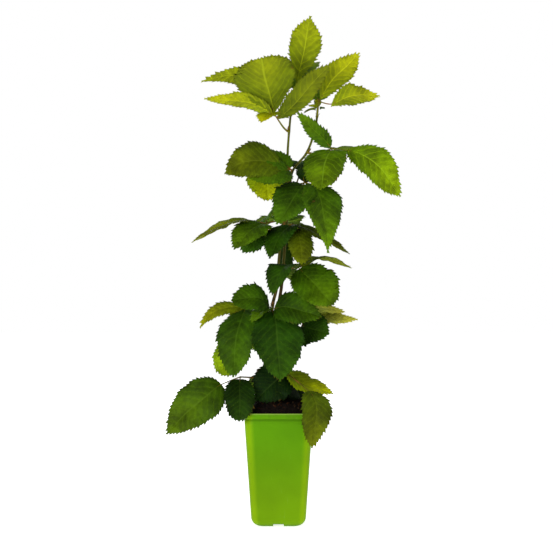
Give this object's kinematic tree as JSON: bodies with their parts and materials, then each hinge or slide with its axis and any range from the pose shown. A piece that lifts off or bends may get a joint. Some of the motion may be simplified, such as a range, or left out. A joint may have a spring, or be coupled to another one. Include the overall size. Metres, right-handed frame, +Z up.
{
  "type": "potted plant",
  "caption": "Young bramble with leaning woody canes and toothed compound leaves, rooted in a square tapered nursery pot filled with soil",
  "frame": {"origin": "centre of the pot's flat underside", "axes": "+Z up along the canes, +Y away from the viewer of the picture, +X to the viewer's right"},
  "size_m": [0.346, 0.216, 0.7523],
  "materials": {
    "pot": "smooth moulded lime-green plastic",
    "soil": "moist potting soil with bark crumbs",
    "cane": "thin green bark, red-brown towards the foot",
    "young_leaf": "soft leaf with a slight sheen",
    "leaf": "soft leaf with a slight sheen"
  },
  "bodies": {
    "root": {"pot": "pot", "soil": "soil", "cane_left": "cane", "cane_right": "cane", "leaf_crown_tip": "young_leaf", "leaf_crown_left": "young_leaf", "leaf_crown_right": "young_leaf", "leaf_high_right": "young_leaf", "leaf_mid_left": "leaf", "leaf_mid_behind_left": "leaf", "leaf_mid_behind_right": "leaf", "leaf_mid_right": "leaf", "leaf_centre_left": "leaf", "leaf_centre_right": "leaf", "leaf_centre_behind": "leaf", "leaf_low_right": "leaf", "leaf_low_behind_left": "leaf", "leaf_low_front": "leaf", "leaf_low_left": "leaf", "leaf_low_behind_right": "leaf", "leaf_lower_behind": "leaf", "leaf_foot_left": "leaf", "leaf_foot_right": "leaf", "leaf_foot_behind": "leaf"}
  },
  "joints": []
}
